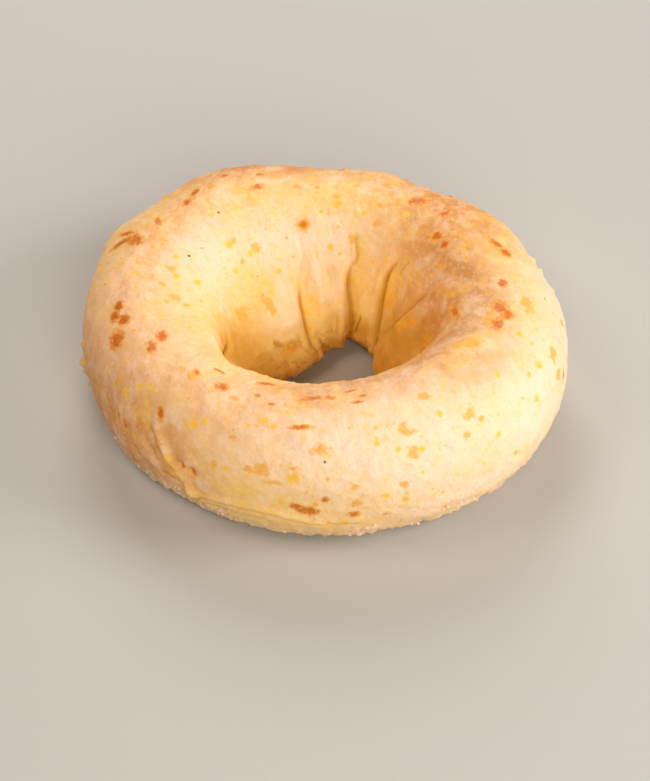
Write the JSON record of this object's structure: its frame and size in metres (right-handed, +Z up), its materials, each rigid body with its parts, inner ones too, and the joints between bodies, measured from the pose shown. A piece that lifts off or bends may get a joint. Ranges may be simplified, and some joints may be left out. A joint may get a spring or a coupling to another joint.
{
  "type": "cheese bread ring",
  "caption": "Hand-rolled ring of baked cheese bread with a pale speckled crust, a creased funnel-shaped hole and a flat underside.",
  "frame": {"origin": "middle of the ring's outline on the surface it rests on", "axes": "+Z up through the hole; -Y towards the ring's thinner front; +X to the right seen from the front"},
  "size_m": [0.1144, 0.1108, 0.0341],
  "materials": {
    "crust": "matt baked crust, pale cream with toasted cheese spots"
  },
  "bodies": {
    "root": {"bread_ring": "crust"}
  },
  "joints": []
}
